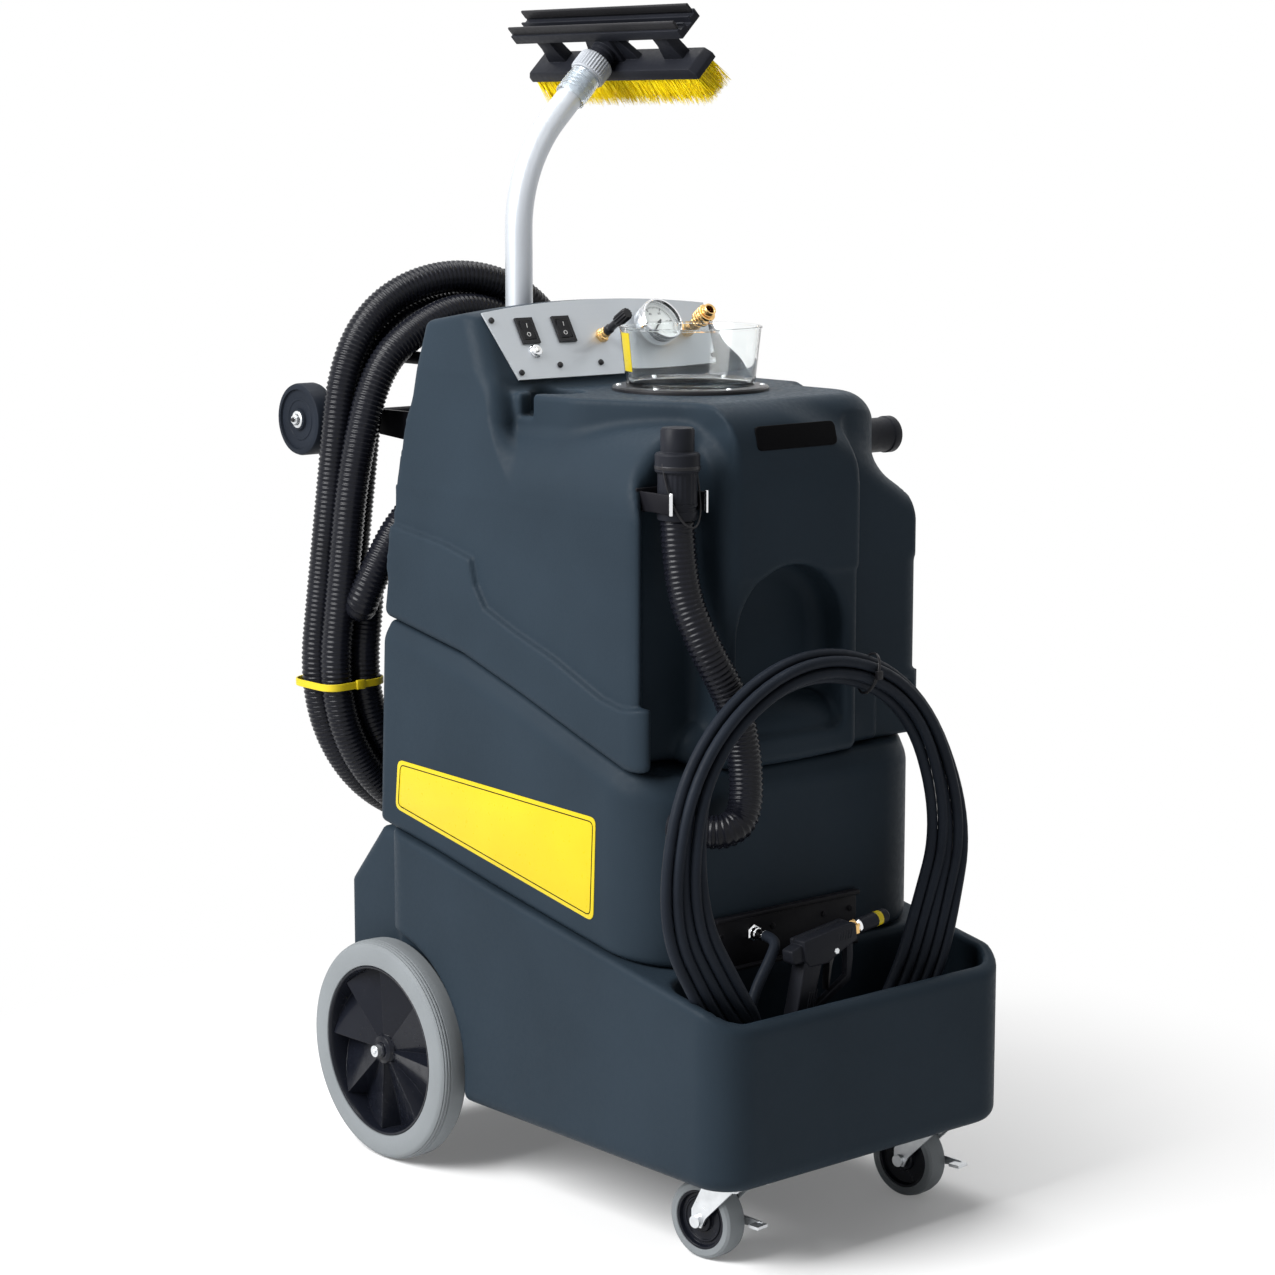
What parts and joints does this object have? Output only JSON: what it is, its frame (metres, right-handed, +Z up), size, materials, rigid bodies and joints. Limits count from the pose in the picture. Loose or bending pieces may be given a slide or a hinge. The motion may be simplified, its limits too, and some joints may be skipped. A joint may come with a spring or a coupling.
{
  "type": "wet dry floor scrubber",
  "caption": "Upright wheeled wet cleaning machine with stacked plastic tanks, tray base, coiled hoses, spray gun, control console and a bent wand with a brush and squeegee head.",
  "frame": {"origin": "floor level under the middle of the machine's box, measured without its free hoses", "axes": "+X to the machine's right seen from the tray side looking back, +Y from the front tray towards the rear wheels and hose hanger, +Z up"},
  "size_m": [0.5765, 1.0092, 1.5712],
  "materials": {
    "body_plastic": "rotomoulded polyethylene, fine pebble grain",
    "tyre_grey": "non-marking grey rubber",
    "hub_plastic": "moulded black hub",
    "panel_silver": "satin anodised sheet",
    "control_black": "moulded black",
    "brass": "machined",
    "chrome": "polished",
    "zinc": "zinc plated",
    "frame_black": "black powder coat",
    "dial_white": "printed dial, left bare",
    "needle_black": "painted",
    "clear_plastic": "clear polycarbonate",
    "label_yellow": "vinyl, left bare",
    "badge_black": "vinyl, left bare",
    "wand_aluminium": "drawn tube, satin",
    "head_black": "moulded black",
    "blade_rubber": "moulded",
    "bristle_yellow": "nylon tufts",
    "hose_black": "ribbed and smooth black hose",
    "strap_yellow": "tie band",
    "motor_grey": "inner units",
    "float_white": "hollow ball"
  },
  "bodies": {
    "chassis": {"base_tub": "body_plastic", "solution_tank": "body_plastic", "recovery_tank": "body_plastic", "control_panel": "panel_silver", "panel_screws": "zinc", "switch_housings": "control_black", "regulator_body": "brass", "gauge_case": "chrome", "gauge_lens": "clear_plastic", "coupling_body": "brass", "lid_flange_ring": "control_black", "inlet_port": "head_black", "badge_plate": "badge_black", "side_label": "label_yellow", "rear_axle": "zinc", "axle_nuts": "zinc", "caster_plates": "zinc", "hanger_frame": "frame_black", "wand_socket": "frame_black", "vacuum_hose_coil": "hose_black", "vacuum_hose_tail": "hose_black", "vacuum_hose_cuffs": "hose_black", "hose_strap": "strap_yellow", "drain_hose": "hose_black", "drain_cap": "hose_black", "tank_outlets": "chrome", "solution_hose_coil": "hose_black", "solution_hose_tails": "hose_black", "gun_body": "head_black", "gun_nozzle": "brass", "vacuum_motor": "motor_grey", "solution_pump": "motor_grey", "standpipe": "clear_plastic", "power_inlet": "control_black"},
    "rocker_vacuum": {"rocker_vacuum": "control_black"},
    "rocker_pump": {"rocker_pump": "control_black"},
    "breaker": {"breaker_button": "float_white"},
    "regulator": {"regulator_knob": "control_black"},
    "needle": {"gauge_needle": "needle_black"},
    "coupling": {"coupling_sleeve": "brass"},
    "lid": {"clear_lid": "clear_plastic"},
    "wand": {"wand_tube": "wand_aluminium", "wand_cuff": "clear_plastic"},
    "head": {"head_frame": "head_black", "squeegee_blades": "blade_rubber", "brush_bristles": "bristle_yellow"},
    "trigger": {"gun_trigger": "control_black"},
    "float": {"float_ball": "float_white"},
    "rear_wheel_left": {"rear_tyre_left": "tyre_grey", "rear_hub_left": "hub_plastic"},
    "caster_left": {"caster_fork_left": "zinc"},
    "caster_wheel_left": {"caster_wheel_left": "tyre_grey"},
    "brake_left": {"brake_pedal_left": "zinc"},
    "load_wheel_left": {"load_wheel_left": "hub_plastic"},
    "rear_wheel_right": {"rear_tyre_right": "tyre_grey", "rear_hub_right": "hub_plastic"},
    "caster_right": {"caster_fork_right": "zinc"},
    "caster_wheel_right": {"caster_wheel_right": "tyre_grey"},
    "brake_right": {"brake_pedal_right": "zinc"},
    "load_wheel_right": {"load_wheel_right": "hub_plastic"}
  },
  "joints": [
    {"name": "rear_spin_left", "type": "hinge", "parent": "chassis", "child": "rear_wheel_left", "pos_m": [-0.254, 0.18235, 0.1524], "axis": [1, 0, 0], "continuous": true},
    {"name": "swivel_left", "type": "hinge", "parent": "chassis", "child": "caster_left", "pos_m": [-0.18, -0.43165, 0.107], "axis": [0, 0, 1], "continuous": true},
    {"name": "caster_spin_left", "type": "hinge", "parent": "caster_left", "child": "caster_wheel_left", "pos_m": [-0.18427, -0.39691, 0.0508], "axis": [0.9925, 0.1219, 0], "continuous": true},
    {"name": "brake_press_left", "type": "hinge", "parent": "caster_left", "child": "brake_left", "pos_m": [-0.18427, -0.39691, 0.0508], "axis": [0.9925, 0.1219, 0], "range_deg": [0, 20]},
    {"name": "load_spin_left", "type": "hinge", "parent": "chassis", "child": "load_wheel_left", "pos_m": [-0.186, 0.45385, 0.998], "axis": [1, 0, 0], "continuous": true},
    {"name": "rear_spin_right", "type": "hinge", "parent": "chassis", "child": "rear_wheel_right", "pos_m": [0.254, 0.18235, 0.1524], "axis": [1, 0, 0], "continuous": true},
    {"name": "swivel_right", "type": "hinge", "parent": "chassis", "child": "caster_right", "pos_m": [0.18, -0.43165, 0.107], "axis": [0, 0, 1], "continuous": true},
    {"name": "caster_spin_right", "type": "hinge", "parent": "caster_right", "child": "caster_wheel_right", "pos_m": [0.17574, -0.39691, 0.0508], "axis": [0.9925, 0.1219, 0], "continuous": true},
    {"name": "brake_press_right", "type": "hinge", "parent": "caster_right", "child": "brake_right", "pos_m": [0.17574, -0.39691, 0.0508], "axis": [0.9925, 0.1219, 0], "range_deg": [0, 20]},
    {"name": "load_spin_right", "type": "hinge", "parent": "chassis", "child": "load_wheel_right", "pos_m": [0.186, 0.45385, 0.998], "axis": [1, 0, 0], "continuous": true},
    {"name": "rocker_turn_vacuum", "type": "hinge", "parent": "chassis", "child": "rocker_vacuum", "pos_m": [-0.131, 0.02653, 1.13871], "axis": [1, 0, 0], "range_deg": [-12, 0]},
    {"name": "rocker_turn_pump", "type": "hinge", "parent": "chassis", "child": "rocker_pump", "pos_m": [-0.069, 0.02653, 1.13871], "axis": [1, 0, 0], "range_deg": [-12, 0]},
    {"name": "breaker_press", "type": "slide", "parent": "chassis", "child": "breaker", "axis": [0, -0.8536, 0.521], "range_m": [-0.002, 0], "stiffness_N_per_m": 60},
    {"name": "regulator_turn", "type": "hinge", "parent": "chassis", "child": "regulator", "pos_m": [-0.009, -0.00756, 1.14428], "axis": [0, -0.8536, 0.521], "range_deg": [0, 270]},
    {"name": "needle_turn", "type": "hinge", "parent": "chassis", "child": "needle", "pos_m": [0.078, 0.00083, 1.14268], "axis": [0, -0.8536, 0.521], "range_deg": [-270, 0], "stiffness_Nm_per_rad": 0.0005},
    {"name": "coupling_pull", "type": "slide", "parent": "chassis", "child": "coupling", "axis": [0, -0.8049, 0.5934], "range_m": [-0.006, 0], "stiffness_N_per_m": 150},
    {"name": "lid_lift", "type": "slide", "parent": "chassis", "child": "lid", "axis": [0, 0, 1], "range_m": [0, 0.1]},
    {"name": "wand_lift", "type": "slide", "parent": "chassis", "child": "wand", "axis": [0, 0, 1], "range_m": [0, 0.2]},
    {"name": "head_turn", "type": "hinge", "parent": "wand", "child": "head", "pos_m": [0.16904, 0.20535, 1.52309], "axis": [0.7071, 0, 0.7071], "range_deg": [-180, 180]},
    {"name": "trigger_pull", "type": "hinge", "parent": "chassis", "child": "trigger", "pos_m": [-0.02552, -0.44765, 0.38089], "axis": [0, 1, 0], "range_deg": [0, 14], "stiffness_Nm_per_rad": 0.05},
    {"name": "float_rise", "type": "slide", "parent": "chassis", "child": "float", "axis": [0, 0, 1], "range_m": [0, 0.0135]}
  ]
}
